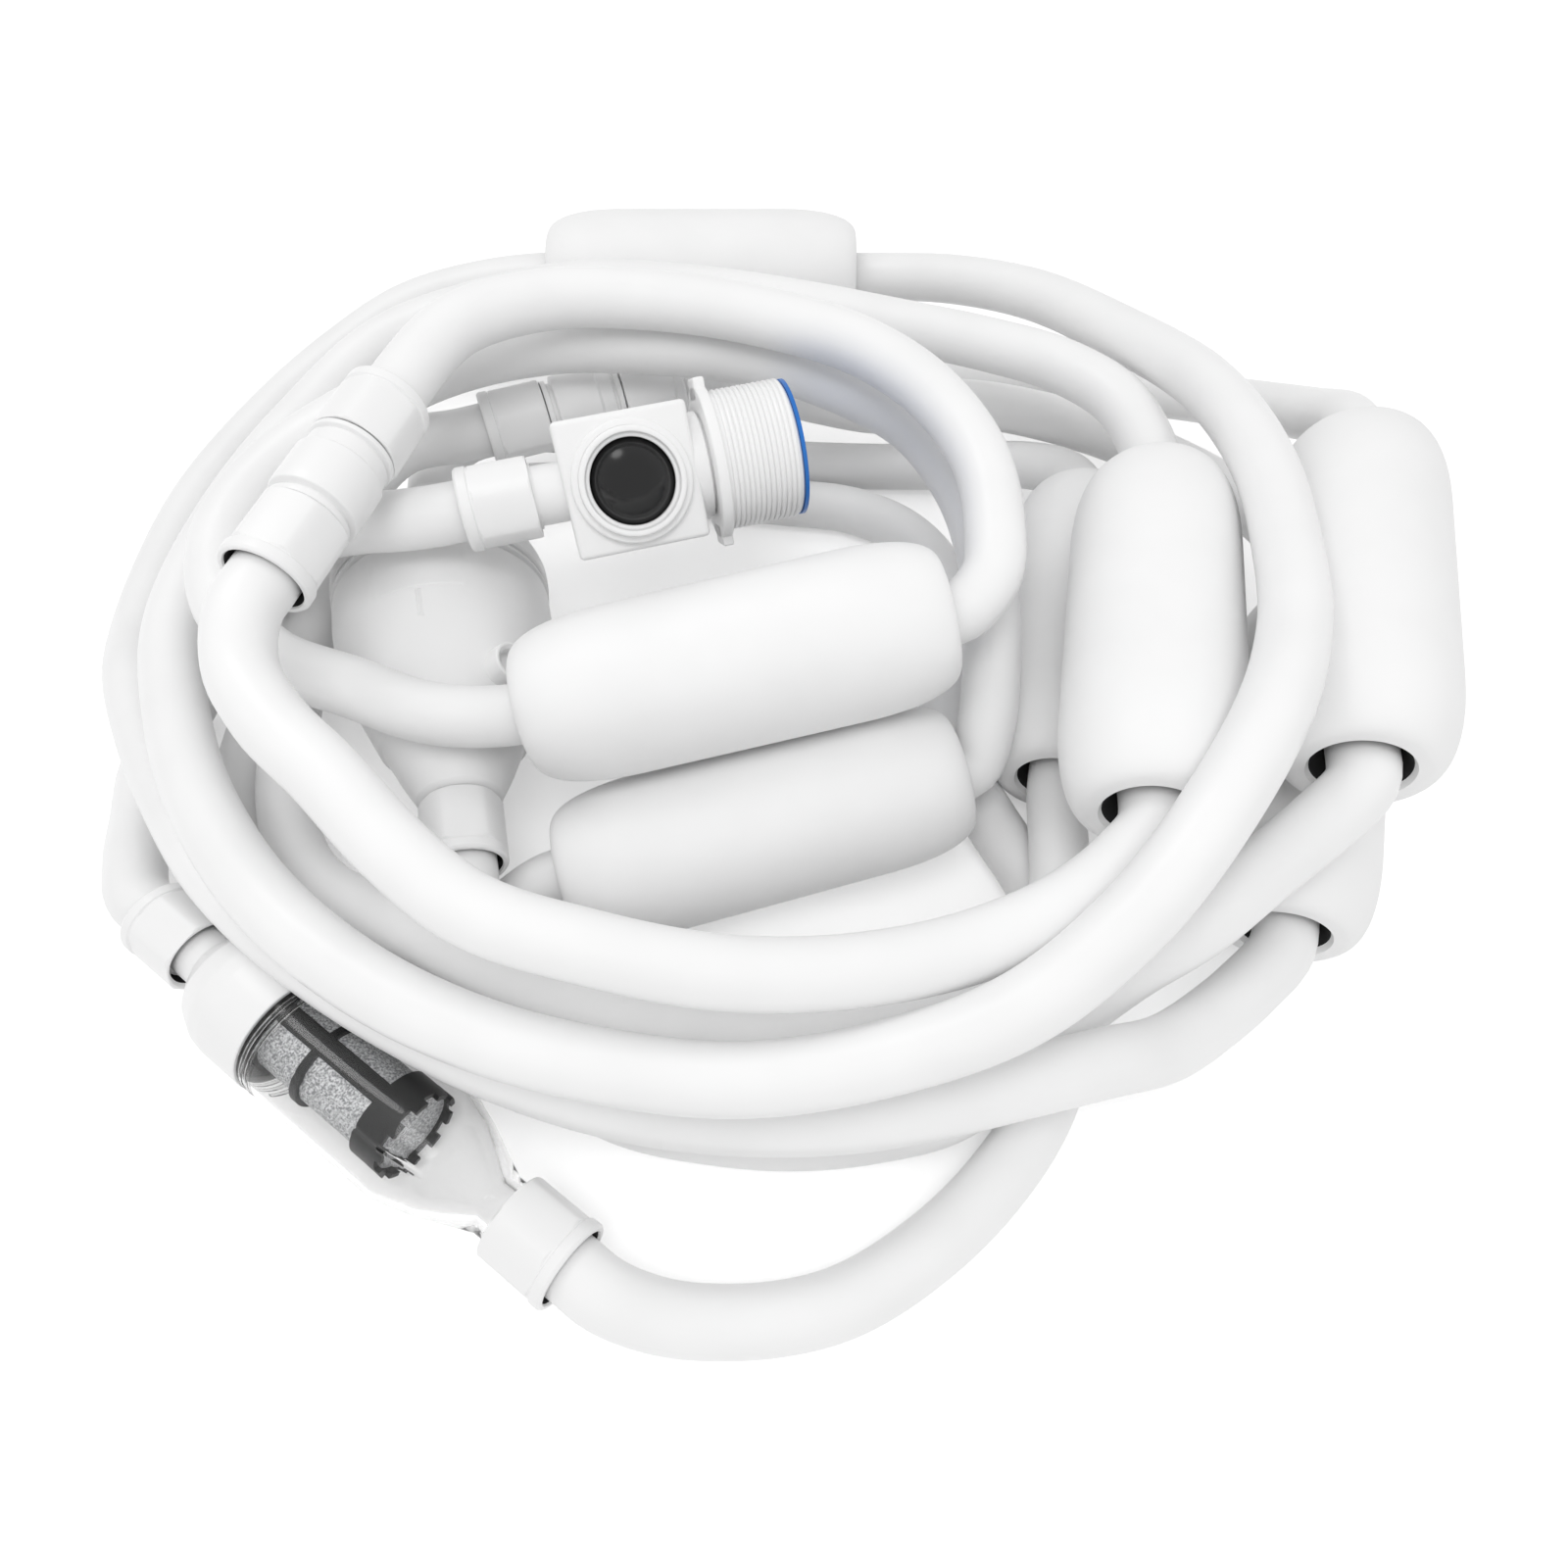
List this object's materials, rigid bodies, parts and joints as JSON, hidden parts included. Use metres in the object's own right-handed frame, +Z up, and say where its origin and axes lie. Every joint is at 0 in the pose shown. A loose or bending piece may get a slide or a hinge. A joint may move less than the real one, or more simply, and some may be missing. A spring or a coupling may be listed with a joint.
{
  "type": "pool cleaner feed hose",
  "caption": "Coiled feed hose of a pressure-side pool cleaner, with floats, swivels, an in-line filter, a back-up valve and a threaded wall connection.",
  "frame": {"origin": "middle of the coil's footprint, on the floor it lies on", "axes": "+Z up, +X to the side that the wall fitting points to, -Y to the side with the filter"},
  "size_m": [0.6381, 0.6062, 0.1764],
  "materials": {
    "white_plastic": "moulded, soft shine",
    "hose_vinyl": "soft vinyl, satin shine",
    "float_foam": "smooth skinned foam",
    "clear_plastic": "clear",
    "basket_plastic": "moulded",
    "mesh_steel": "fine woven wire",
    "spring_steel": "bright",
    "seal_rubber": "smooth",
    "ball_plastic": "polished black",
    "blue_plastic": "moulded"
  },
  "bodies": {
    "hose_line": {"disconnect_block": "white_plastic", "relief_ring": "white_plastic", "relief_spring": "spring_steel", "block_neck": "white_plastic", "block_nut": "white_plastic", "filter_inlet_nut": "white_plastic", "filter_cap": "white_plastic", "filter_bowl": "clear_plastic", "filter_basket": "basket_plastic", "filter_mesh": "mesh_steel", "filter_seal": "seal_rubber", "filter_outlet_nut": "white_plastic", "valve_inlet_nut": "white_plastic", "valve_cap": "white_plastic", "valve_body": "white_plastic", "valve_jet": "white_plastic", "valve_outlet_nut": "white_plastic", "gear_plate": "white_plastic", "swivel_1_nut_a": "white_plastic", "swivel_1_spindle": "white_plastic", "swivel_1_seal": "seal_rubber", "swivel_1_nut_b": "white_plastic", "swivel_2_nut_a": "white_plastic", "swivel_2_spindle": "white_plastic", "swivel_2_seal": "seal_rubber", "swivel_2_nut_b": "white_plastic", "end_nut": "white_plastic", "end_connector": "white_plastic", "hose_1": "hose_vinyl", "hose_2": "hose_vinyl", "hose_3": "hose_vinyl", "hose_4": "hose_vinyl", "hose_5": "hose_vinyl"},
    "float_1": {"float_1": "float_foam"},
    "float_2": {"float_2": "float_foam"},
    "float_3": {"float_3": "float_foam"},
    "float_4": {"float_4": "float_foam"},
    "float_5": {"float_5": "float_foam"},
    "float_6": {"float_6": "float_foam"},
    "float_7": {"float_7": "float_foam"},
    "swivel_1": {"swivel_1_sleeve": "white_plastic", "swivel_1_balls": "spring_steel"},
    "swivel_2": {"swivel_2_sleeve": "white_plastic", "swivel_2_balls": "spring_steel"},
    "relief_ball": {"relief_ball": "ball_plastic"},
    "wall_fitting": {"wall_fitting": "white_plastic", "restrictor_disk": "blue_plastic", "fitting_seal": "seal_rubber"},
    "turbine": {"turbine_wheel": "white_plastic"},
    "timing_gear": {"timing_gear": "basket_plastic"}
  },
  "joints": [
    {"name": "float_1_spin", "type": "hinge", "parent": "hose_line", "child": "float_1", "pos_m": [-0.021, 0.267, 0.063], "axis": [-1, 0, 0], "continuous": true},
    {"name": "float_2_spin", "type": "hinge", "parent": "hose_line", "child": "float_2", "pos_m": [0.007, -0.0515, 0.101], "axis": [0.9745, 0.1824, 0.1305], "continuous": true},
    {"name": "float_3_spin", "type": "hinge", "parent": "hose_line", "child": "float_3", "pos_m": [0.018, -0.0945, 0.041], "axis": [0.965, 0.2406, 0.1045], "continuous": true},
    {"name": "float_4_spin", "type": "hinge", "parent": "hose_line", "child": "float_4", "pos_m": [0.181, -0.041, 0.107], "axis": [0.1907, 0.981, -0.0349], "continuous": true},
    {"name": "float_5_spin", "type": "hinge", "parent": "hose_line", "child": "float_5", "pos_m": [0.171, 0.018, 0.036], "axis": [0.2079, 0.9781, 0], "continuous": true},
    {"name": "float_6_spin", "type": "hinge", "parent": "hose_line", "child": "float_6", "pos_m": [0.271, -0.022, 0.109], "axis": [0.2588, 0.9659, 0], "continuous": true},
    {"name": "float_7_spin", "type": "hinge", "parent": "hose_line", "child": "float_7", "pos_m": [0.266, -0.06, 0.036], "axis": [0.309, 0.9511, 0], "continuous": true},
    {"name": "swivel_1_turn", "type": "hinge", "parent": "hose_line", "child": "swivel_1", "pos_m": [-0.151, -0.008, 0.158], "axis": [0.2756, 0.9613, 0], "continuous": true},
    {"name": "swivel_2_turn", "type": "hinge", "parent": "hose_line", "child": "swivel_2", "pos_m": [-0.076, 0.127, 0.084], "axis": [0.9397, 0.342, 0], "continuous": true},
    {"name": "relief_ball_push", "type": "slide", "parent": "hose_line", "child": "relief_ball", "axis": [-0.2047, 0.7382, -0.6428], "range_m": [0, 0.006], "stiffness_N_per_m": 600, "springref_m": -0.002, "deforming": ["relief_spring"]},
    {"name": "wall_fitting_twist", "type": "hinge", "parent": "hose_line", "child": "wall_fitting", "pos_m": [-0.00199, 0.04446, 0.1225], "axis": [0.9636, 0.2672, 0], "range_deg": [0, 45]},
    {"name": "turbine_spin", "type": "hinge", "parent": "hose_line", "child": "turbine", "pos_m": [-0.136, 0.003, 0.0515], "axis": [0.225, -0.9744, 0], "continuous": true},
    {"name": "timing_gear_spin", "type": "hinge", "parent": "hose_line", "child": "timing_gear", "pos_m": [-0.136, 0.003, 0.0755], "axis": [0.225, -0.9744, 0], "continuous": true}
  ],
  "couplings": [
    {"joint": "timing_gear_spin", "follows": "turbine_spin", "ratio": -0.33333}
  ]
}
